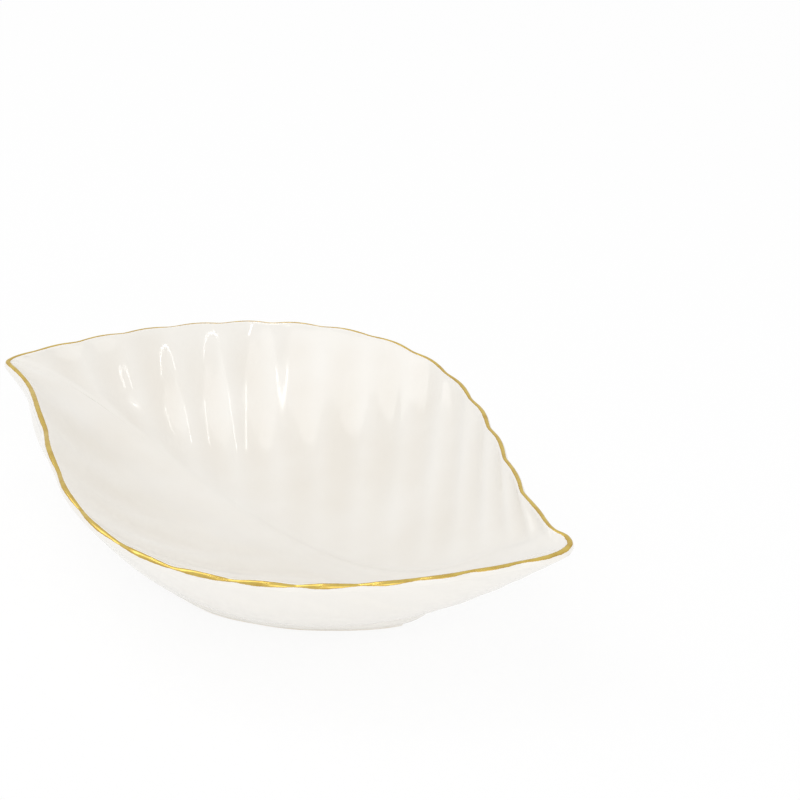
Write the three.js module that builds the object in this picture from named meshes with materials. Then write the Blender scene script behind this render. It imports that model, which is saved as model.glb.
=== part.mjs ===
// Leaf-shaped serving dish: a fluted ceramic bowl on a leaf-shaped foot, with a gilded scalloped lip.
// Millimetres, +Z up. The foot stands on z = 0, +X points to the thick stem end and -X to the apex.
import * as THREE from 'three';

// Leaf outline, measured along the middle of the lip
const LEAF_LENGTH = 197;
const LEAF_WIDTH = 135.6;
const RIM_HEIGHT = 40;
const APEX_DROP = 2;
const APEX_RADIUS = 4;
const STEM_RADIUS = 6.5;
const MIDLINE_BOW = 3.5;
const MIDLINE_SWAY = 19.4;
const MIDLINE_LEAN = 1.1;
const UNDERSIDE_SWAY = 9.7;

// Bowl section
const LIP_THICKNESS = 2.4;
const BASE_THICKNESS = 6.4;
const WALL_POWER = 2.2;
const OUTER_WALL_POWER = 1.4;
const BASE_SHIFT = 10;

// Fullness of the outer wall under the hollow stretch of each edge, as shares of the edge from its sharper end
const BELLY = 2.6;
const BELLY_PLACE = 0.19;
const BELLY_SPAN = 0.09;

// Flutes of the near and the far side, how much they crowd towards the apex, and their fading at the tips
const FLUTES = [18.6, 15];
const FLUTE_CROWDING = [0.42, 0.2];
const FLUTE_DEPTH = 1;
const LIP_WAVE = 0.8;
const APEX_WAVE_SHARE = 0.35;
const OUTER_FLUTE_DEPTH = 1.2;
const RIM_DIP = 0.3;
const TIP_FADE = 0.035;

// Veins between the flutes: how far they sweep to the stem inside and outside, and the bend of each side's
const VEIN_SOFTNESS = 0.25;
const VEIN_SWEEP = 0.45;
const UNDERSIDE_SWEEP = 0.3;
const VEIN_BEND = [0.8, 1];

// Midrib, fine at the apex and spreading into a broad tongue at the stem
const RIB_STEM_HEIGHT = 3.2;
const RIB_APEX_HEIGHT = 0.9;
const RIB_STEM_HALF_WIDTH = 22;
const RIB_APEX_HALF_WIDTH = 2.5;
const RIB_SPREAD_POWER = 6;
const RIB_FLATNESS = 4;

// Foot, a leaf-shaped ring with pointed ends
const FOOT_LENGTH = 98;
const FOOT_WIDTH = 71;
const FOOT_HEIGHT = 4.2;
const FOOT_WALL = 5;
const FOOT_FLARE = 2.6;
const FOOT_EDGE = 0.8;
const FOOT_TIP_POWER = 1.5;

// Gilding, its sloping seat on the lip and the clearance under it and over the foot
const GILT_THICKNESS = 0.4;
const GILT_DEPTH = 1;
const SEAT_FALL = 0.1;
const FIT_GAP = 0.3;

// Grid counts
const EDGE_SAMPLES = 1440;
const STEPS_ALONG = 108;
const FOOT_STEPS = 40;
const ARCH_STEPS = 4;
const INNER_STATIONS = [0, 0.04, 0.09, 0.16, 0.28, 0.42, 0.56, 0.7, 0.82, 0.92, 1];
const OUTER_STATIONS = [0, 0.25, 0.42, 0.52, 0.64, 0.77, 0.9, 1];

const UNDERSIDE = FOOT_HEIGHT + FIT_GAP;
const FLOOR = UNDERSIDE + BASE_THICKNESS;
const HALF_LIP = LIP_THICKNESS / 2;
const HALF_LENGTH = LEAF_LENGTH / 2;
const LIP_FOOT = GILT_DEPTH + FIT_GAP;
const FLAT_SHARE = (FOOT_LENGTH / LEAF_LENGTH + FOOT_WIDTH / LEAF_WIDTH) / 2;

function mix(a, b, share) {
  return a + (b - a) * share;
}

// Sideways place of an S-bent midline at s, from -1 at the apex to 1 at the stem
function midline(s, bow, sway) {
  return (1 - s * s) * (bow - sway * (MIDLINE_LEAN * s + s * s * s));
}

// Half width of the leaf at s: a cosine lens with round tips, of which the stem is the blunter
function halfWidth(s) {
  const lens = LEAF_WIDTH * LEAF_WIDTH / 4 - APEX_RADIUS * HALF_LENGTH;
  const round = mix(APEX_RADIUS, STEM_RADIUS, ((1 + s) / 2) ** 20) * HALF_LENGTH;
  const wave = Math.cos(Math.PI * s / 2);
  return Math.sqrt(Math.max(0, lens * wave * wave + round * (1 - s * s)));
}

// One side of the leaf's edge: gives the place and the outward direction at the share u from apex to stem
function makeEdge(side) {
  const points = [];
  const lengths = [0];
  for (let i = 0; i <= EDGE_SAMPLES; i += 1) {
    const s = -Math.cos(Math.PI * i / EDGE_SAMPLES);
    const y = midline(s, MIDLINE_BOW, MIDLINE_SWAY) + side * halfWidth(s);
    points.push(new THREE.Vector2(s * HALF_LENGTH, y));
    if (i > 0) {
      lengths.push(lengths[i - 1] + points[i].distanceTo(points[i - 1]));
    }
  }
  return (u) => {
    const target = lengths[EDGE_SAMPLES] * u;
    const found = lengths.findIndex((length) => length >= target);
    const k = Math.max(1, found < 0 ? EDGE_SAMPLES : found);
    const share = (target - lengths[k - 1]) / (lengths[k] - lengths[k - 1]);
    const along = points[k].clone().sub(points[k - 1]).normalize();
    const outward = new THREE.Vector2(-along.y * side, along.x * side);
    if (u === 0 || u === 1) {
      outward.set(2 * u - 1, 0);
    }
    return { place: points[k - 1].clone().lerp(points[k], share), outward };
  };
}

const edges = [makeEdge(-1), makeEdge(1)];

// How far a flute swells out at u along the edge: 0 on a vein, 1 in mid flute and at both tips
function lobe(side, u) {
  const crowded = u + FLUTE_CROWDING[side] * u * (1 - u);
  const wave = Math.cos(Math.PI * FLUTES[side] * crowded);
  const crest = Math.hypot(1, VEIN_SOFTNESS) - VEIN_SOFTNESS;
  const swell = (Math.hypot(wave, VEIN_SOFTNESS) - VEIN_SOFTNESS) / crest;
  return mix(swell, 1, Math.exp(-((u * (1 - u) / TIP_FADE) ** 2)));
}

// The lip's waves grow from apex to stem
function waveShare(u) {
  return mix(APEX_WAVE_SHARE, 1, u * u * (3 - 2 * u));
}

// A point of the lip: side 0 or 1, offset outward from the middle of the lip and down from its top
function lipPoint(side, u, offset, down) {
  const { place, outward } = edges[side](u);
  const out = offset + LIP_WAVE * waveShare(u) * (lobe(side, u) - 0.5);
  const dip = RIM_DIP * waveShare(u) * (1 - lobe(side, u));
  const height = RIM_HEIGHT - APEX_DROP * (1 - u) ** 6 - dip - down;
  return new THREE.Vector3(place.x + outward.x * out, place.y + outward.y * out, height);
}

// The lip's loops run round both sides; the tips belong to side 0
function loopPlaces() {
  const places = [];
  for (let i = 0; i <= STEPS_ALONG; i += 1) {
    places.push([0, i]);
  }
  for (let i = STEPS_ALONG - 1; i > 0; i -= 1) {
    places.push([1, i]);
  }
  return places;
}

// Collects vertices and triangles of one closed body
class SolidMesh {
  constructor() {
    this.positions = [];
    this.triangles = [];
  }

  vertex(point) {
    this.positions.push(point.x, point.y, point.z);
    return this.positions.length / 3 - 1;
  }

  triangle(a, b, c) {
    if (a !== b && b !== c && c !== a) {
      this.triangles.push(a, b, c);
    }
  }

  quad(a, b, c, d) {
    this.triangle(a, b, c);
    this.triangle(a, c, d);
  }

  // Joins two loops of equal count; seen from outside, the second lies to the left of the first
  band(first, second) {
    for (let i = 0; i < first.length; i += 1) {
      const next = (i + 1) % first.length;
      this.quad(first[i], first[next], second[next], second[i]);
    }
  }

  mesh(name, color, roughness, metalness) {
    const geometry = new THREE.BufferGeometry();
    geometry.setAttribute('position', new THREE.Float32BufferAttribute(this.positions, 3));
    geometry.setIndex(this.triangles);
    geometry.computeVertexNormals();
    const material = new THREE.MeshStandardMaterial({ color, roughness, metalness });
    const part = new THREE.Mesh(geometry, material);
    part.name = name;
    return part;
  }
}

// Place on the midrib where the vein that meets the edge at u starts, and the u of the vein that starts at s
function veinRoot(u, sweep) {
  const t = 2 * u - 1;
  return t + sweep * (1 - t * t);
}

function veinEnd(s, sweep) {
  const t = (1 - Math.sqrt(1 - 4 * sweep * (s - sweep))) / (2 * sweep);
  return (t + 1) / 2;
}

// Share of the way out from the middle of the bowl: s is the place on the midrib, v the way on to the lip
function bowlShare(s, v) {
  return Math.sqrt(s * s + (1 - s * s) * v * v);
}

// Inside of the bowl at side, u along the edge and share v of the way from midrib to lip
function innerPoint(side, u, v) {
  const s = veinRoot(u, VEIN_SWEEP);
  const lip = lipPoint(side, u, -HALF_LIP, LIP_FOOT);
  const rootX = s * (HALF_LENGTH - HALF_LIP);
  const rootY = midline(s, 0, MIDLINE_SWAY);
  const rise = bowlShare(s, v) ** WALL_POWER;
  const flute = FLUTE_DEPTH * lobe(side, u) * (1 - (1 - v) ** 3) * (1 - rise);
  const reach = v * Math.hypot(lip.x - rootX, lip.y - rootY);
  const stemward = (s + 1) / 2;
  const ribHeight = mix(RIB_APEX_HEIGHT, RIB_STEM_HEIGHT, stemward ** 2) * (1 - rise ** RIB_FLATNESS);
  const ribWidth = mix(RIB_APEX_HALF_WIDTH, RIB_STEM_HALF_WIDTH, stemward ** RIB_SPREAD_POWER);
  const rib = ribHeight * Math.exp(-((reach / ribWidth) ** RIB_FLATNESS));
  const height = mix(FLOOR, lip.z, rise) - flute + rib;
  return new THREE.Vector3(mix(rootX, lip.x, v ** VEIN_BEND[side]), mix(rootY, lip.y, v), height);
}

// Outside of the bowl: flat over the foot, which lies a little towards the apex, then rising to the lip
function outerPoint(side, u, v) {
  const s = veinRoot(u, UNDERSIDE_SWEEP);
  const { place, outward } = edges[side](u);
  const fromEnd = ((side === 0 ? u : 1 - u) - BELLY_PLACE) / BELLY_SPAN;
  const belly = BELLY * Math.exp(-(fromEnd ** 2)) * Math.sin(Math.PI * v ** 3);
  const wave = mix(OUTER_FLUTE_DEPTH, LIP_WAVE * waveShare(u), v ** 12);
  const swell = belly + v * v * wave * (lobe(side, u) - 0.5);
  const rootX = s * (HALF_LENGTH + HALF_LIP);
  const x = mix(rootX, place.x + outward.x * (HALF_LIP + swell), v);
  const y = mix(midline(s, 0, UNDERSIDE_SWAY), place.y + outward.y * (HALF_LIP + swell), v);
  const flat = FLAT_SHARE - BASE_SHIFT * x / (HALF_LENGTH * HALF_LENGTH);
  const share = Math.max(0, (bowlShare(s, v) - flat) / (1 - flat));
  const lipHeight = lipPoint(side, u, HALF_LIP, LIP_FOOT).z;
  return new THREE.Vector3(x, y, mix(UNDERSIDE, lipHeight, share ** OUTER_WALL_POWER));
}

// Adds one face of the bowl, made of both sides and closed at the tips, and returns its lip loop
function addBowlFace(solid, point, stations, facing) {
  const last = stations.length - 1;
  const apex = solid.vertex(point(0, 0, 1));
  const stem = solid.vertex(point(0, 1, 1));
  const spine = [apex];
  for (let i = 1; i < STEPS_ALONG; i += 1) {
    spine.push(solid.vertex(point(0, i / STEPS_ALONG, 0)));
  }
  spine.push(stem);
  const grids = [0, 1].map((side) => {
    const grid = [stations.map(() => apex)];
    for (let i = 1; i < STEPS_ALONG; i += 1) {
      const u = i / STEPS_ALONG;
      grid.push(stations.map((v, j) => (j === 0 ? spine[i] : solid.vertex(point(side, u, v)))));
    }
    grid.push(stations.map(() => stem));
    return grid;
  });
  grids.forEach((grid, side) => {
    for (let i = 0; i < STEPS_ALONG; i += 1) {
      for (let j = 0; j < last; j += 1) {
        const corners = [grid[i][j], grid[i][j + 1], grid[i + 1][j + 1], grid[i + 1][j]];
        if ((side === 0) !== (facing > 0)) {
          corners.reverse();
        }
        solid.quad(...corners);
      }
    }
  });
  return loopPlaces().map(([side, i]) => grids[side][i][last]);
}

// A closed loop of lip points at one offset and depth
function addLipLoop(solid, offset, down) {
  return loopPlaces().map(([side, i]) => solid.vertex(lipPoint(side, i / STEPS_ALONG, offset, down)));
}

// Bowl: inside, outside and a lip rebated for the gilding
function makeBody() {
  const solid = new SolidMesh();
  const inner = addBowlFace(solid, innerPoint, INNER_STATIONS, 1);
  const outer = addBowlFace(solid, outerPoint, OUTER_STATIONS, -1);
  const recess = GILT_THICKNESS + FIT_GAP;
  const shoulder = HALF_LIP - recess;
  const loops = [
    outer,
    addLipLoop(solid, shoulder, LIP_FOOT - SEAT_FALL),
    addLipLoop(solid, 0, recess),
    addLipLoop(solid, -shoulder, LIP_FOOT - SEAT_FALL),
    inner,
  ];
  loops.slice(1).forEach((loop, k) => solid.band(loops[k], loop));
  return solid.mesh('leaf_body', 0xf4f1ea, 0.12, 0);
}

// Gilding: a thin arched band over the lip
function makeGilding() {
  const solid = new SolidMesh();
  const inside = HALF_LIP - GILT_THICKNESS;
  const loops = [];
  for (let k = 0; k <= ARCH_STEPS; k += 1) {
    const angle = Math.PI * k / ARCH_STEPS;
    loops.push(addLipLoop(solid, HALF_LIP * Math.cos(angle), GILT_DEPTH * (1 - Math.sin(angle))));
  }
  loops.push(addLipLoop(solid, -inside, GILT_DEPTH));
  loops.push(addLipLoop(solid, 0, GILT_THICKNESS));
  loops.push(addLipLoop(solid, inside, GILT_DEPTH));
  loops.forEach((loop, k) => solid.band(loop, loops[(k + 1) % loops.length]));
  return solid.mesh('gold_rim', 0xc9a13b, 0.28, 1);
}

// A closed loop set in from the foot's pointed outline, a gap below the bowl or at a given height
function addFootLoop(solid, inset, height) {
  const reach = FOOT_LENGTH / LEAF_LENGTH - inset / (LEAF_WIDTH / 2);
  const spread = (FOOT_WIDTH / 2 - inset) / (LEAF_WIDTH / 2);
  const places = [];
  for (let i = 0; i <= FOOT_STEPS; i += 1) {
    places.push([0, i]);
  }
  for (let i = FOOT_STEPS - 1; i > 0; i -= 1) {
    places.push([1, i]);
  }
  return places.map(([side, i]) => {
    const angle = Math.PI * i / FOOT_STEPS;
    const u = veinEnd(-reach * Math.cos(angle), UNDERSIDE_SWEEP);
    const point = outerPoint(side, u, spread * Math.sin(angle) ** FOOT_TIP_POWER);
    point.z = height === undefined ? point.z - FIT_GAP : height;
    return solid.vertex(point);
  });
}

// Foot: a low ring flared up to the bowl and standing on a flat edge
function makeFoot() {
  const solid = new SolidMesh();
  const loops = [
    addFootLoop(solid, -FOOT_FLARE),
    addFootLoop(solid, -FOOT_FLARE / 2),
    addFootLoop(solid, 0),
    addFootLoop(solid, FOOT_WALL / 2),
    addFootLoop(solid, FOOT_WALL),
    addFootLoop(solid, FOOT_WALL, FOOT_EDGE),
    addFootLoop(solid, FOOT_WALL - FOOT_EDGE, 0),
    addFootLoop(solid, FOOT_EDGE, 0),
    addFootLoop(solid, 0, FOOT_EDGE),
    addFootLoop(solid, -FOOT_FLARE / 3, FOOT_HEIGHT * 0.7),
  ];
  loops.forEach((loop, k) => solid.band(loop, loops[(k + 1) % loops.length]));
  return solid.mesh('foot_ring', 0xe6dfd2, 0.7, 0);
}

const dish = new THREE.Group();
dish.name = 'leaf_dish';
dish.add(makeBody(), makeFoot(), makeGilding());

// The bowed outline is set back so that the middle of the dish is over the origin
const extent = new THREE.Box3().setFromObject(dish);
dish.position.x = -(extent.min.x + extent.max.x) / 2;
dish.position.y = -(extent.min.y + extent.max.y) / 2;

export default dish;
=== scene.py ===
"""Leaf-shaped serving dish of ivory glazed ceramic, with fluted walls, a midrib, a foot and a gold lip.

Sizes are in millimetres and are turned into metres when a mesh is made. +X points to the thick stem end,
-X to the apex, and the foot stands on z = 0.
"""
import math

import bpy
import bmesh
import numpy as np
from mathutils import Matrix, Vector


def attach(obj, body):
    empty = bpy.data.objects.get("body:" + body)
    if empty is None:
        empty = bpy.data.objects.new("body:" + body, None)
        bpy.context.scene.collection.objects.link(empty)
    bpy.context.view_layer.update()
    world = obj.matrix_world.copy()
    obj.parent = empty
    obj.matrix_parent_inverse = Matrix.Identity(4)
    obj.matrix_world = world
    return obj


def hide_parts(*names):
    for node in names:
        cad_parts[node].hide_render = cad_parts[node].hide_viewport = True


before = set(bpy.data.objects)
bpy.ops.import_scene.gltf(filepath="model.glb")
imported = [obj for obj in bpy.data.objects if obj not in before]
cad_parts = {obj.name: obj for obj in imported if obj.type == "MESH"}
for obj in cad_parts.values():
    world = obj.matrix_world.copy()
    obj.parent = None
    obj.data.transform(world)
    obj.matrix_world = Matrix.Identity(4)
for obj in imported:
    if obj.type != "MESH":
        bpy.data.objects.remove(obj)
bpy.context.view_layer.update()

# Leaf body
# One slip-cast bowl in the outline of a leaf. Its wall is pressed into flutes that run from the midrib to the
# lip, the midrib spreads into a broad tongue at the stem, and the whole is dipped in a glossy ivory glaze.
MM = 0.001

# Outline, seen from above
leaf_length = 195.2
leaf_width = 135.35
apex_radius = 4.0
stem_radius = 6.5
stem_round_power = 20
midline_bow = 3.5
midline_sway = 19.4
midline_lean = 1.1
edge_samples = 2881

# Lip. Here and below, -1 is the near side and 1 the far side, and a span is where a change starts and ends
rim_height = 40.0
apex_drop = 2.0
apex_drop_power = 6
lip_thickness = 2.4
lip_inner_angle = math.radians(142)
lip_outer_angle = math.radians(-40)
lip_softness = 0.3
lip_wave = 0.8
apex_wave_share = 0.65
wave_unevenness = 0.35
rim_dip = {-1: 1.2, 1: 0.3}
stem_dip_loss = 0.7
dip_loss_span = (0.65, 0.9)
stem_nub = 0.9
nub_start = {-1: 0.9, 1: 0.962}
nub_end = {-1: 1.0, 1: 0.98}
gold_film = 0.06

# Floor and walls
foot_height = 4.2
foot_length = 98.0
foot_width = 71.0
base_thickness = 6.7
base_shift = 10.0
wall_power = 2.2
outer_wall_power = 1.4
floor_round = 10.0
underside_sway = 9.7
belly = {-1: 4.0, 1: 0.0}
belly_place = 0.15
belly_width = 0.09
belly_tip_fade = 0.1

# Flutes and the veins between them
flutes = {-1: 12.5, 1: 15.0}
flute_crowding = {-1: -0.5, 1: 0.2}
apex_flute_depth = {-1: 0.62, 1: 0.65}
stem_flute_depth = {-1: 0.5, 1: 0.38}
flute_depth_span = (0.15, 0.55)
flute_unevenness = 0.3
flute_start_power = 2.5
flute_end_power = {-1: 6, 1: 14}
flute_stop_span = (0.86, 0.97)
outer_flute_depth = 0.35
outer_vein_softness = 0.5
tip_fade = 0.035
vein_sweep = 0.45
underside_sweep = 0.3
vein_bend = {-1: 0.8, 1: 1.0}
vein_softness = {-1: 0.8, 1: 0.6}
upper_vein_softness = 0.4
wall_wave_softness = 1.2
wall_wave_share = {-1: 0.5, 1: 1.0}

# Midrib, from its apex to its stem end
rib_heights = (0.15, 2.6)
rib_half_widths = (3.5, 18.0)
rib_spread_power = 6
rib_taper = 0.35
rib_taper_span = (0.8, 1.0)
rib_flatness = (2.0, 6.0)
rib_clearance = 1.3
rib_groove = 0.7
groove_place = 1.15
groove_widths = (0.6, 0.3)

# Pooling of the glaze, which also stands for painted shade in the flutes and on the floor, and the steps of
# the mesh
flute_pool_shade = 0.55
floor_pool_shade = 0.45
steps_along = 400
steps_inside = 58
inside_crowding = 1.25
steps_outside = 48
steps_lip = 14
lip_samples = 4001
merge_distance = 0.002
least_reach = 1e-6

half_length = leaf_length / 2
half_lip = lip_thickness / 2
floor_height = foot_height + base_thickness
flat_share = (foot_length / leaf_length + foot_width / leaf_width) / 2


def mix(a, b, share):
    """A straight blend from a to b."""
    return a + (b - a) * share


def ease(start, end, value):
    """A smooth step from 0 at the start to 1 at the end."""
    share = np.clip((value - start) / (end - start), 0, 1)
    return share * share * (3 - 2 * share)


def bell(value, place, width):
    """A smooth bump that is 1 at its place and falls to about a third at its width from there."""
    return np.exp(-(((value - place) / width) ** 2))


def midline(s, bow, sway):
    """Sideways place of an S-bent line at s, from -1 at the apex to 1 at the stem.

    It is 1 less the square of s, times the bow less the sway times a leaning cubic of s.
    """
    return (1 - s**2) * (bow - sway * (midline_lean * s + s**3))


def leaf_edge(side, u):
    """Place and outward direction of the leaf's edge at the share u of its length from apex to stem.

    The half width squared is a cosine lens plus a round tip, whose radius grows towards the stem. The running
    length along the edge turns u into a place.
    """
    s = -np.cos(np.linspace(0, np.pi, edge_samples))
    tip_radius = mix(apex_radius, stem_radius, ((1 + s) / 2) ** stem_round_power)
    lens = leaf_width**2 / 4 - apex_radius * half_length
    squared = lens * np.cos(np.pi * s / 2) ** 2 + tip_radius * half_length * (1 - s**2)
    x = s * half_length
    y = midline(s, midline_bow, midline_sway) + side * np.sqrt(np.maximum(squared, 0))
    run = np.concatenate([[0], np.cumsum(np.hypot(np.diff(x), np.diff(y)))])
    run = run / run[-1]
    along_x = np.gradient(x, run)
    along_y = np.gradient(y, run)
    along_x[[0, -1]] = 0
    along_y[[0, -1]] = [side, -side]
    out_x = np.interp(u, run, -along_y * side)
    out_y = np.interp(u, run, along_x * side)
    size = np.hypot(out_x, out_y)
    return np.interp(u, run, x), np.interp(u, run, y), out_x / size, out_y / size


def lobe(side, u, softness):
    """Swell of a flute, 0 on a vein and 1 in mid flute and at both tips: the size of a cosine wave.

    Softness rounds the vein, from a sharp crease at 0 to an even wave at 1. The flutes crowd towards one end.
    """
    crowded = u + flute_crowding[side] * u * (1 - u)
    wave = np.cos(np.pi * flutes[side] * crowded)
    crest = np.sqrt(1 + softness**2) - softness
    swell = (np.sqrt(wave**2 + softness**2) - softness) / crest
    return mix(swell, 1, bell(u * (1 - u), 0, tip_fade))


def hand_wobble(u, seed):
    """A slow unevenness of about -1 to 1 along the edge, a sum of three sine waves, none at the tips."""
    waves = np.sin(7.3 * u + seed) + np.sin(17.9 * u + 2.1 * seed) + np.sin(31.7 * u + 3.7 * seed)
    return waves / 3 * np.sin(np.pi * u)


def lip_round(side, u, angle, radius, softness=lip_softness, wave_share=1.0):
    """The half-round lip: a circle of the given radius about the middle of the edge, angle 0 outwards, 90 up.

    It waves in and out with the flutes and dips at each vein. The waves grow from apex to stem, but the dips
    get shallow near the stem. The end of the stem is a nub that stands out from the edge, with a notch on the
    far side.
    """
    x, y, out_x, out_y = leaf_edge(side, u)
    swell = lobe(side, u, softness)
    growth = mix(apex_wave_share, 1, ease(0, 1, u))
    wave = wave_share * growth * (1 + wave_unevenness * hand_wobble(u, side))
    nub = stem_nub * ease(nub_start[side], nub_end[side], u)
    dip = rim_dip[side] * wave * (1 - swell) * (1 - stem_dip_loss * ease(*dip_loss_span, u))
    height = rim_height - gold_film - half_lip - apex_drop * (1 - u) ** apex_drop_power - dip
    out = lip_wave * wave * (swell - 0.5) + nub + radius * np.cos(angle)
    return np.stack([x + out_x * out, y + out_y * out, height + radius * np.sin(angle) + 0 * out], -1)


def bowl_share(s, v):
    """Share of the way out from the middle of the bowl, at s along the midrib and v across.

    It is the root of s squared plus the rest, 1 less s squared, times v squared.
    """
    return np.sqrt(s**2 + (1 - s**2) * v**2)


def vein_root(u, sweep):
    """Place on the midrib, from -1 to 1, where the vein starts that meets the edge at u.

    It is the same share of the way along, moved towards the stem by a parabola that is 0 at both ends.
    """
    t = 2 * u - 1
    return t + sweep * (1 - t**2)


def root_line(side, s, angle):
    """Place along the leaf of the midrib's point s and of its ends, which meet the lip at the given angle."""
    apex, stem = lip_round(side, np.array([0.0, 1.0]), angle, half_lip)[:, 0]
    return mix(apex, stem, (s + 1) / 2), apex, stem


def bowl_inside(side, u, v):
    """Inside of the bowl at u along the edge and v of the way from midrib to lip, with its pooling and
    painted shade.

    The height rises with a power of the bowl's share. Flutes press the wall outwards along its slope, and
    they fade out at the midrib, at the lip and before the stem. The lip's waves are softer in the wall below
    it, and smaller there on the near side. The midrib is a flat-topped swelling between two shallow grooves,
    and it spreads from apex to stem. Close to the midrib the share follows the place itself and not the
    vein's root, so that both sides meet in one round floor.
    """
    s = vein_root(u, vein_sweep)
    wave_softness = mix(wall_wave_softness, lip_softness, v**14)
    wave_share = mix(wall_wave_share[side], 1, v**10)
    lip = lip_round(side, u, lip_inner_angle, half_lip, wave_softness, wave_share)
    root_x, apex_x, stem_x = root_line(side, s, lip_inner_angle)
    root_y = midline(s, 0, midline_sway)
    reach_x = lip[..., 0] - root_x
    reach_y = lip[..., 1] - root_y
    reach = np.hypot(reach_x, reach_y) + least_reach
    lip_s = 2 * (lip[..., 0] - apex_x) / (stem_x - apex_x) - 1
    drift = (lip_s - s) * v ** vein_bend[side] * bell(v * reach, 0, floor_round)
    share = bowl_share(s + drift, v)
    rise = share**wall_power
    climb = (lip[..., 2] - floor_height) * wall_power * share ** (wall_power - 2) * (1 - s**2) * v
    slope = np.arctan2(climb, reach)

    stemward = (s + 1) / 2
    rib_height = mix(*rib_heights, stemward**3) * (1 - rise**8)
    rib_width = mix(*rib_half_widths, stemward**rib_spread_power) * (1 - rib_taper * ease(*rib_taper_span, s))
    off = v * reach / rib_width
    groove_width = mix(*groove_widths, stemward**2)
    groove = rib_groove * stemward**3 * (1 - rise**4) * bell(off, groove_place, groove_width)
    rib = rib_height * np.exp(-(off ** mix(*rib_flatness, stemward**4))) - groove

    swell = lobe(side, u, mix(vein_softness[side], upper_vein_softness, v**8))
    fade = (1 - (1 - v) ** flute_start_power) * (1 - v ** flute_end_power[side])
    fade = fade * (1 - np.exp(-((off / rib_clearance) ** 4))) * (1 - ease(*flute_stop_span, u))
    flute_depth = mix(apex_flute_depth[side], stem_flute_depth[side], ease(*flute_depth_span, u))
    press = flute_depth * (1 + flute_unevenness * hand_wobble(u, side + 4)) * swell * fade
    sideways = press * np.sin(slope) / reach
    x = root_x + reach_x * (v ** vein_bend[side] + sideways)
    y = root_y + reach_y * (v + sideways)
    z = mix(floor_height, lip[..., 2], rise) + rib - press * np.cos(slope)
    # Painted shade: the pooling share darkens mid flute and the bowl's floor, for thick glaze and for shade
    # there.
    pool_shade = np.clip(flute_pool_shade * swell * fade + floor_pool_shade * (1 - rise), 0, 1)
    return np.stack([x, y, z], -1), pool_shade


def bowl_outside(side, u, v):
    """Outside of the bowl: flat over the foot, then a wall that rises with a power of the share outwards.

    The flutes swell the wall out and fade to nothing over the foot. Near the apex the wall of the near side
    has a fuller belly, which is gone at both tips.
    """
    s = vein_root(u, underside_sweep)
    lip = lip_round(side, u, lip_outer_angle, half_lip)
    _, _, out_x, out_y = leaf_edge(side, u)
    off_tips = ease(0, belly_tip_fade, u) * ease(0, belly_tip_fade, 1 - u)
    full = belly[side] * bell(u, belly_place, belly_width) * off_tips * np.sin(np.pi * v**3)
    flute = v**2 * (1 - v**10) * outer_flute_depth * (lobe(side, u, outer_vein_softness) - 0.5)
    swell = full + flute
    x = mix(root_line(side, s, lip_outer_angle)[0], lip[..., 0], v) + out_x * swell
    y = mix(midline(s, 0, underside_sway), lip[..., 1], v) + out_y * swell
    flat = flat_share - base_shift * x / half_length**2
    share = np.clip((bowl_share(s, v) - flat) / (1 - flat), 0, None)
    z = mix(foot_height, lip[..., 2], share**outer_wall_power)
    return np.stack([x, y, z], -1)


def make_piece(name, points, wrap_rows, attributes):
    """Makes a mesh from a grid of rows and wrapped columns in millimetres, and merges points that meet.

    Attributes are grids of one number a point, which the materials read.
    """
    rows, columns = points.shape[:2]
    index = np.arange(rows * columns).reshape(rows, columns)
    below = index if wrap_rows else index[:-1]
    above = np.roll(index, -1, 0) if wrap_rows else index[1:]
    corners = [below, above, np.roll(above, -1, 1), np.roll(below, -1, 1)]
    faces = np.stack(corners, -1).reshape(-1, 4)
    mesh = bpy.data.meshes.new(name)
    mesh.from_pydata((points.reshape(-1, 3) * MM).tolist(), [], faces.tolist())
    for key, grid in attributes.items():
        layer = mesh.attributes.new(key, "FLOAT", "POINT")
        layer.data.foreach_set("value", grid.astype(np.float32).ravel())
    work = bmesh.new()
    work.from_mesh(mesh)
    bmesh.ops.remove_doubles(work, verts=work.verts, dist=merge_distance * MM)
    bmesh.ops.recalc_face_normals(work, faces=work.faces)
    work.to_mesh(mesh)
    work.free()
    mesh.shade_smooth()
    piece = bpy.data.objects.new(name, mesh)
    bpy.context.scene.collection.objects.link(piece)
    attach(piece, "root")
    return piece


# The outline is moved so that the middle of its lip lies over the origin, as it does in the frame
lip_run = np.linspace(0, 1, lip_samples)
near_lip = lip_round(-1, lip_run, 0, half_lip)
far_lip = lip_round(1, lip_run, 0, half_lip)
set_back = np.array([
    (near_lip[:, 0].min() + near_lip[:, 0].max()) / 2,
    (near_lip[:, 1].min() + far_lip[:, 1].max()) / 2,
    0,
])

along = np.linspace(0, 1, steps_along + 1)[:, None]
inside = (np.linspace(0, 1, steps_inside + 1) ** inside_crowding)[None, :]
outside = np.linspace(0, 1, steps_outside + 1)[None, :]
over_lip = np.linspace(lip_inner_angle, lip_outer_angle, steps_lip + 1)[None, 1:-1]
near_inside, near_pool_shade = bowl_inside(-1, along, inside)
far_inside, far_pool_shade = bowl_inside(1, along, inside)
ring = [
    far_inside,
    lip_round(1, along, over_lip, half_lip),
    bowl_outside(1, along, outside[:, ::-1]),
    bowl_outside(-1, along, outside[:, 1:]),
    lip_round(-1, along, over_lip[:, ::-1], half_lip),
    near_inside[:, :0:-1],
]
# The lip and the outside get no pooling and no painted shade.
pool_shade_grids = [far_pool_shade, *[np.zeros(part.shape[:2]) for part in ring[1:5]], near_pool_shade[:, :0:-1]]
body_points = np.concatenate(ring, 1) - set_back
leaf = make_piece("glazed_leaf", body_points, False, {"pool_shade": np.concatenate(pool_shade_grids, 1)})


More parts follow.
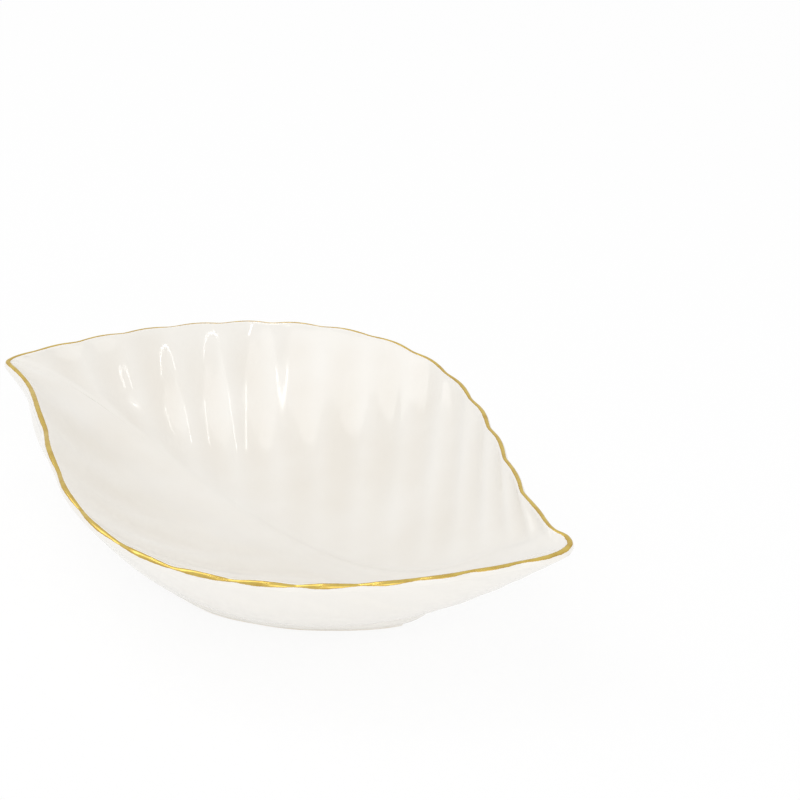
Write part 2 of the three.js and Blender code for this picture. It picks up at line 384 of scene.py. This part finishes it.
def new_group(name, inputs, outputs):
    """A shader node group with its input and output nodes.

    Inputs are names with a default number or colour, and outputs are names with a socket type.
    """
    tree = bpy.data.node_groups.new(name, "ShaderNodeTree")
    for key, value in inputs.items():
        kind = "NodeSocketColor" if isinstance(value, tuple) else "NodeSocketFloat"
        tree.interface.new_socket(key, in_out="INPUT", socket_type=kind).default_value = value
    for key, kind in outputs.items():
        tree.interface.new_socket(key, in_out="OUTPUT", socket_type=kind)
    return tree, tree.nodes.new("NodeGroupInput"), tree.nodes.new("NodeGroupOutput")


def add_node(tree, kind, links, **settings):
    """Adds a node, sets its plain settings and inputs, and links the inputs that are given as sockets."""
    node = tree.nodes.new(kind)
    for key, value in settings.items():
        setattr(node, key, value)
    for key, value in links.items():
        if isinstance(value, bpy.types.NodeSocket):
            tree.links.new(value, node.inputs[key])
        else:
            node.inputs[key].default_value = value
    return node


def object_place(tree):
    """The place of a shaded point on its own piece, in metres."""
    return add_node(tree, "ShaderNodeTexCoord", {}).outputs["Object"]


def noise(tree, place, scale, detail):
    """Soft random clouds about a middle value of 0.5."""
    links = {"Vector": place, "Scale": scale, "Detail": detail}
    return add_node(tree, "ShaderNodeTexNoise", links).outputs[0]


def spread(tree, value, span, result):
    """Stretches a value from one span to another, and holds it at the ends."""
    links = {0: value, 1: span[0], 2: span[1], 3: result[0], 4: result[1]}
    return add_node(tree, "ShaderNodeMapRange", links).outputs[0]


def reckon(tree, operation, *values, clamped=False):
    """One step of arithmetic on up to three values, held between 0 and 1 where it is clamped."""
    links = dict(enumerate(values))
    return add_node(tree, "ShaderNodeMath", links, operation=operation, use_clamp=clamped).outputs[0]


def blend(tree, share, first, second):
    """The first colour where the share is 0, the second where it is 1, and a mix of both between."""
    return add_node(tree, "ShaderNodeMix", {0: share, 6: first, 7: second}, data_type="RGBA").outputs[2]


def srgb(red, green, blue):
    """A colour written in 8-bit display values, as the linear colour that shaders take."""
    shares = [c / 255 for c in (red, green, blue)]
    return tuple(c / 12.92 if c <= 0.04045 else ((c + 0.055) / 1.055) ** 2.4 for c in shares) + (1.0,)


# Fired glaze: cloudy ivory, warmer where it lies thick and in painted shade, with rare dark pinholes and a
# faint orange peel
glaze_inputs = {
    "Pool_Shade": 0.0,
    "Thin": srgb(246, 243, 237),
    "Pooled_Shade": srgb(239, 234, 225),
    "Speck": srgb(120, 96, 74),
}
glaze_outputs = {"Color": "NodeSocketColor", "Roughness": "NodeSocketFloat", "Height": "NodeSocketFloat"}
glaze, glaze_in, glaze_out = new_group("fired_glaze", glaze_inputs, glaze_outputs)
glaze_place = object_place(glaze)
cloudy = spread(glaze, noise(glaze, glaze_place, 42.0, 3.0), (0.3, 0.7), (-0.25, 0.3))
# Painted shade: the pooling share, with cloudy noise, turns the glaze to its darker pooled colour.
depth_and_shade = reckon(glaze, "ADD", glaze_in.outputs["Pool_Shade"], cloudy, clamped=True)
shaded_tint = blend(glaze, depth_and_shade, glaze_in.outputs["Thin"], glaze_in.outputs["Pooled_Shade"])
cells = add_node(glaze, "ShaderNodeTexVoronoi", {"Vector": glaze_place, "Scale": 95.0})
dot = spread(glaze, cells.outputs["Distance"], (0.02, 0.035), (1.0, 0.0))
chosen_cell = reckon(glaze, "GREATER_THAN", cells.outputs["Color"], 0.86)
pinhole = reckon(glaze, "MULTIPLY", dot, chosen_cell)
specked = blend(glaze, pinhole, shaded_tint, glaze_in.outputs["Speck"])
gloss = spread(glaze, noise(glaze, glaze_place, 160.0, 2.0), (0.3, 0.7), (0.05, 0.11))
peel = noise(glaze, glaze_place, 330.0, 1.0)
holed_peel = reckon(glaze, "MULTIPLY_ADD", pinhole, -1.0, peel)
glaze.links.new(specked, glaze_out.inputs["Color"])
glaze.links.new(gloss, glaze_out.inputs["Roughness"])
glaze.links.new(holed_peel, glaze_out.inputs["Height"])

ivory = bpy.data.materials.new("ivory_glaze")
ivory.use_nodes = True
ivory_tree = ivory.node_tree
ivory_shader = ivory_tree.nodes["Principled BSDF"]
ivory_shader.inputs["IOR"].default_value = 1.52
# The mesh's pooling share, which also carries painted shade in the flutes and on the floor.
pool_shade_read = add_node(ivory_tree, "ShaderNodeAttribute", {}, attribute_name="pool_shade").outputs["Fac"]
coat = add_node(ivory_tree, "ShaderNodeGroup", {}, node_tree=glaze)
ivory_tree.links.new(pool_shade_read, coat.inputs["Pool_Shade"])
skin_links = {"Height": coat.outputs["Height"], "Distance": 0.00001, "Strength": 0.2}
skin = add_node(ivory_tree, "ShaderNodeBump", skin_links)
ivory_tree.links.new(coat.outputs["Color"], ivory_shader.inputs["Base Color"])
ivory_tree.links.new(coat.outputs["Roughness"], ivory_shader.inputs["Roughness"])
ivory_tree.links.new(skin.outputs[0], ivory_shader.inputs["Normal"])
leaf.data.materials.append(ivory)
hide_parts("leaf_body")

# Foot
# A low leaf-shaped ring cast with the bowl, which carries it clear of the table. Its side grows out of the
# wall in one curve. The glaze is wiped off its standing edge before firing, so a bare, sandy edge shows.
foot_wall = 5.0
foot_flare = 8.0
foot_bend_power = 1.2
foot_edge = 0.8
foot_tip_power = 1.5
foot_sink = 0.6
foot_fillet_start = 0.6
steps_round = 180
steps_side = 12
steps_edge = 5


def vein_end(s, sweep):
    """The share u along the edge of the vein that starts at s on the midrib: vein_root solved for u."""
    t = (1 - np.sqrt(1 - 4 * sweep * (s - sweep))) / (2 * sweep)
    return (t + 1) / 2


def foot_place(side, angle, inset):
    """A place on the bowl's outside above the foot, at an angle round it and set in from its outline.

    The outline is an oval of the bowl's own grid whose sides are raised to a power, so its ends are pointed.
    """
    reach = foot_length / leaf_length - inset / (leaf_width / 2)
    spread_share = (foot_width / 2 - inset) / (leaf_width / 2)
    s = -reach * np.cos(angle)
    v = spread_share * np.sin(angle) ** foot_tip_power
    return bowl_outside(side, vein_end(s, underside_sweep), v)


def foot_section(side, angle):
    """The foot's closed section at each angle: a side, a round edge, a flat, and back up.

    The side leaves the wall along its slope and bends down to the edge. The top is sunk a hair into the bowl.
    """
    slide = np.linspace(0, 1, steps_side + 1)
    edge = np.linspace(0, np.pi / 2, steps_edge + 1)
    top = foot_height + foot_sink
    insets = np.concatenate([
        -foot_flare * (1 - slide),
        foot_edge * (1 - np.cos(edge)),
        foot_wall - foot_edge * (1 - np.sin(edge)),
        foot_wall + foot_edge * (1 - np.cos(edge)),
    ])
    heights = np.concatenate([
        mix(1.0, foot_edge / top, slide**foot_bend_power),
        foot_edge * (1 - np.sin(edge)) / top,
        foot_edge * (1 - np.cos(edge)) / top,
        mix(foot_fillet_start, 1.0, np.sin(edge)),
    ])
    points = foot_place(side, angle[:, None], insets[None, :])
    points[..., 2] = (points[..., 2] + foot_sink) * heights
    return points


half_turn = np.linspace(0, np.pi, steps_round + 1)
near_foot = foot_section(-1, half_turn)
far_foot = foot_section(1, half_turn[-2:0:-1])
foot_points = np.concatenate([near_foot, far_foot], 0) - set_back
foot = make_piece("foot", foot_points, True, {})

bare = bpy.data.materials.new("wiped_foot")
bare.use_nodes = True
bare_tree = bare.node_tree
bare_shader = bare_tree.nodes["Principled BSDF"]
bare_shader.inputs["IOR"].default_value = 1.52
bare_place = object_place(bare_tree)
bare_height = add_node(bare_tree, "ShaderNodeSeparateXYZ", {0: bare_place}).outputs["Z"]
ragged = noise(bare_tree, bare_place, 240.0, 3.0)
wipe_line = reckon(bare_tree, "MULTIPLY_ADD", ragged, -0.0006, bare_height)
glazed = spread(bare_tree, wipe_line, (0.0, 0.00035), (0.0, 1.0))
sand = noise(bare_tree, bare_place, 1500.0, 4.0)
clay = blend(bare_tree, sand, srgb(226, 214, 194), srgb(242, 234, 219))
foot_coat = add_node(bare_tree, "ShaderNodeGroup", {"Pool_Shade": 0.0}, node_tree=glaze)
foot_color = blend(bare_tree, glazed, clay, foot_coat.outputs["Color"])
foot_gloss = add_node(bare_tree, "ShaderNodeMix", {0: glazed, 2: 0.8, 3: foot_coat.outputs["Roughness"]})
bare_share = reckon(bare_tree, "SUBTRACT", 1.0, glazed)
bare_grain = reckon(bare_tree, "MULTIPLY", sand, bare_share)
grain_links = {"Height": bare_grain, "Distance": 0.00004, "Strength": 0.3}
foot_grain = add_node(bare_tree, "ShaderNodeBump", grain_links)
bare_tree.links.new(foot_color, bare_shader.inputs["Base Color"])
bare_tree.links.new(foot_gloss.outputs[0], bare_shader.inputs["Roughness"])
bare_tree.links.new(foot_grain.outputs[0], bare_shader.inputs["Normal"])
foot.data.materials.append(bare)
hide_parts("foot_ring")

# Gold line
# Gold lustre brushed over the fired glaze by hand, all the way round the lip. On the near side it slips to
# the outside, broad in mid flute and pinched at the veins. The film is thin and brown along its ragged edges.
steps_brush = 1500
steps_film = 12
film_dive = 1.6
film_back = 0.15
brush_pitches = (11.0, 29.0, 67.0, 151.0, 331.0)
inner_seed = 1.7
outer_seed = 4.1

# Stretches of the edge, as a place and a width in shares of its length
stem_stretch = (1, 0.04)
front_stretch = (0.66, 0.19)
left_stretch = (0.2, 0.15)
far_left_stretch = (0.28, 0.2)

# Degrees on the lip of the film's inner and outer edge, and of what moves each of them
inner_edge = 114
inner_front_slip = 30
inner_left_rise = 6
inner_far_left_slip = 22
inner_swell = 6
inner_shake = 5
inner_stem_shake = 12
outer_edge = 56
outer_front_slip = 14
outer_left_slip = 8
outer_swell = 6
outer_front_swell = 36
outer_shake = 6
outer_stem_shake = 5
outer_stem_slip = 12


def brush_shake(u, seed):
    """The unsteadiness of a brush, about -1 to 1: a sum of sine waves, each weaker than the one before."""
    waves = [
        np.sin(2 * np.pi * pitch * u + seed * (rank + 1)) / (rank + 1.5)
        for rank, pitch in enumerate(brush_pitches)
    ]
    return sum(waves) / 1.6


def gold_limits(side, u):
    """The angles on the lip of the film's inner and outer edge, in degrees with 0 outwards and 90 up.

    Each is a middle value that slips along a few stretches of the edge, follows the flutes and shakes.
    """
    near = float(side < 0)
    swell = lobe(side, u, lip_softness)
    stem_end = bell(u, *stem_stretch)
    front = near * bell(u, *front_stretch)
    left = near * bell(u, *left_stretch)
    far_left = (1 - near) * bell(u, *far_left_stretch)
    inner = inner_edge - inner_front_slip * front + inner_left_rise * left
    inner = inner - inner_far_left_slip * far_left + inner_swell * swell
    outer = outer_edge - outer_front_slip * front - outer_left_slip * left
    outer = outer - (outer_swell + outer_front_swell * front) * swell
    inner = inner + (inner_shake + inner_stem_shake * stem_end) * brush_shake(u, inner_seed + side)
    outer = outer + (outer_shake + outer_stem_shake * stem_end) * brush_shake(u, outer_seed - side)
    return inner, outer - outer_stem_slip * stem_end


def gold_section(side, u):
    """The film's closed section on the lip at each u, and how near each point is to its edge, 0 to 1.

    Its top stands a hair above the lip and dives into it at both edges, and its back lies inside the lip.
    """
    inner, outer = gold_limits(side, u)
    across = np.linspace(0, 1, steps_film + 1)
    near_edge = np.abs(2 * across - 1)
    angle = np.radians(mix(inner[:, None], outer[:, None], across[None, :]))
    top = half_lip + gold_film * (1 - film_dive * near_edge**10)
    back = np.full_like(top, half_lip - film_back)
    front_points = lip_round(side, u[:, None], angle, top[None, :])
    back_points = lip_round(side, u[:, None], angle[:, ::-1], back[None, :])
    edge = np.concatenate([near_edge, near_edge[::-1]])
    return np.concatenate([front_points, back_points], 1), edge + 0 * u[:, None]


brush_run = np.linspace(0, 1, steps_brush + 1)
near_film, near_film_edge = gold_section(-1, brush_run)
far_film, far_film_edge = gold_section(1, brush_run[-2:0:-1])
film_points = np.concatenate([near_film, far_film], 0) - set_back
film_edges = np.concatenate([near_film_edge, far_film_edge], 0)
gold = make_piece("gold_line", film_points, True, {"edge": film_edges})

lustre = bpy.data.materials.new("gold_lustre")
lustre.use_nodes = True
lustre_tree = lustre.node_tree
lustre_shader = lustre_tree.nodes["Principled BSDF"]
lustre_shader.inputs["Metallic"].default_value = 1.0
edge_read = add_node(lustre_tree, "ShaderNodeAttribute", {}, attribute_name="edge").outputs["Fac"]
patchy = noise(lustre_tree, object_place(lustre_tree), 320.0, 4.0)
thin_edge = reckon(lustre_tree, "POWER", edge_read, 3.0)
brown_edge = reckon(lustre_tree, "MULTIPLY", thin_edge, 0.7)
worn = reckon(lustre_tree, "MULTIPLY_ADD", patchy, 1.2, -0.5)
brown = reckon(lustre_tree, "ADD", brown_edge, worn, clamped=True)
gold_color = blend(lustre_tree, brown, srgb(231, 203, 112), srgb(176, 132, 48))
gold_gloss = spread(lustre_tree, patchy, (0.3, 0.7), (0.14, 0.32))
stroke_links = {"Height": patchy, "Distance": 0.00005, "Strength": 0.4}
strokes = add_node(lustre_tree, "ShaderNodeBump", stroke_links)
lustre_tree.links.new(gold_color, lustre_shader.inputs["Base Color"])
lustre_tree.links.new(gold_gloss, lustre_shader.inputs["Roughness"])
lustre_tree.links.new(strokes.outputs[0], lustre_shader.inputs["Normal"])
gold.data.materials.append(lustre)
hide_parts("gold_rim")

# Camera
# It looks down on the dish from the stem's near side, with a long lens, as the photograph was taken.
camera_place = Vector((0.3891, -0.4886, 0.3791))
camera_aim = Vector((-0.5120, 0.7227, -0.4643))
camera_up = Vector((-0.2684, 0.3788, 0.8857))
camera_data = bpy.data.cameras.new("camera")
camera_data.sensor_width = 36.0
camera_data.lens = 113.26
camera_data.clip_end = 20.0
camera = bpy.data.objects.new("camera", camera_data)
camera_right = camera_aim.cross(camera_up).normalized()
camera_true_up = camera_right.cross(camera_aim).normalized()
axes = Matrix((camera_right, camera_true_up, -camera_aim.normalized())).transposed()
camera.matrix_world = Matrix.Translation(camera_place) @ axes.to_4x4()
bpy.context.scene.collection.objects.link(camera)
bpy.context.scene.camera = camera

# Floor
# A plain white light table under the dish. It takes light and a soft shadow, and it also glows, more towards
# the camera than onto the dish, so it is white all over. From below it is clear, to show the underside.
white = (1.0, 1.0, 1.0, 1.0)
floor_half = 3.0
floor_mesh = bpy.data.meshes.new("floor")
floor_corners = [(x * floor_half, y * floor_half, 0) for x, y in ((-1, -1), (1, -1), (1, 1), (-1, 1))]
floor_mesh.from_pydata(floor_corners, [], [(0, 1, 2, 3)])
floor = bpy.data.objects.new("floor", floor_mesh)
bpy.context.scene.collection.objects.link(floor)
table = bpy.data.materials.new("white_table")
table.use_nodes = True
table_tree = table.node_tree
table_shader = table_tree.nodes["Principled BSDF"]
table_shader.inputs["Base Color"].default_value = white
table_shader.inputs["Roughness"].default_value = 0.9
table_shader.inputs["Specular IOR Level"].default_value = 0.0
table_glow = add_node(table_tree, "ShaderNodeEmission", {"Color": white, "Strength": 1.0})
table_rays = add_node(table_tree, "ShaderNodeLightPath", {})
glow_share = reckon(table_tree, "MULTIPLY_ADD", table_rays.outputs["Is Camera Ray"], 0.5, 0.35)
table_top = add_node(
    table_tree,
    "ShaderNodeMixShader",
    {0: glow_share, 1: table_shader.outputs[0], 2: table_glow.outputs[0]},
)
table_side = add_node(table_tree, "ShaderNodeNewGeometry", {})
table_clear = add_node(table_tree, "ShaderNodeBsdfTransparent", {})
table_sheet = add_node(
    table_tree,
    "ShaderNodeMixShader",
    {0: table_side.outputs["Backfacing"], 1: table_top.outputs[0], 2: table_clear.outputs[0]},
)
table_tree.links.new(table_sheet.outputs[0], table_tree.nodes["Material Output"].inputs["Surface"])
floor_mesh.materials.append(table)

# Light
# An even white room with a window at the left, a soft-edged window overhead made of two panels, a fill at the
# right and two narrow tubes. The glaze mirrors the windows as broad patches and the tubes as fine lines.
world = bpy.data.worlds.new("room")
bpy.context.scene.world = world
world.use_nodes = True
room = world.node_tree
room_light = room.nodes["Background"]
room_light.inputs["Color"].default_value = white
room_light.inputs["Strength"].default_value = 0.78
seen_light = add_node(room, "ShaderNodeBackground", {"Color": white, "Strength": 1.0})
rays = add_node(room, "ShaderNodeLightPath", {})
seen = reckon(room, "ADD", rays.outputs["Is Camera Ray"], rays.outputs["Is Transmission Ray"], clamped=True)
either = add_node(
    room,
    "ShaderNodeMixShader",
    {0: seen, 1: room_light.outputs[0], 2: seen_light.outputs[0]},
)
room.links.new(either.outputs[0], room.nodes["World Output"].inputs["Surface"])


def soft_box(name, place, turns, size, radiance):
    """A flat lamp of even radiance, with its place and size in metres.

    It shines straight down until it is turned, in degrees about X, Y and Z.
    """
    lamp_data = bpy.data.lights.new(name, "AREA")
    lamp_data.shape = "RECTANGLE"
    lamp_data.size, lamp_data.size_y = size
    lamp_data.energy = radiance * math.pi * size[0] * size[1]
    lamp = bpy.data.objects.new(name, lamp_data)
    lamp.location = place
    lamp.rotation_euler = [math.radians(turn) for turn in turns]
    bpy.context.scene.collection.objects.link(lamp)


soft_box("left_window", (-1.0, -0.23, 1.155), (0, -90, 0), (0.87, 0.74), 1.1)
soft_box("top_window", (-0.55, -0.22, 1.6), (0, 0, 0), (0.9, 0.64), 0.7)
soft_box("top_window_edge", (-0.55, -0.17, 1.61), (0, 0, 0), (1.0, 0.84), 0.3)
soft_box("right_fill", (1.0, -0.8, 0.8), (58, 0, 51), (1.3, 1.0), 0.9)
soft_box("front_tube", (0.1, -0.42, 1.0), (0, 0, 40), (0.025, 0.3), 8.0)
soft_box("side_tube", (-0.24, 0.134, 1.0), (0, 0, 32), (0.025, 0.42), 6.0)

bpy.context.scene.view_settings.view_transform = "Standard"
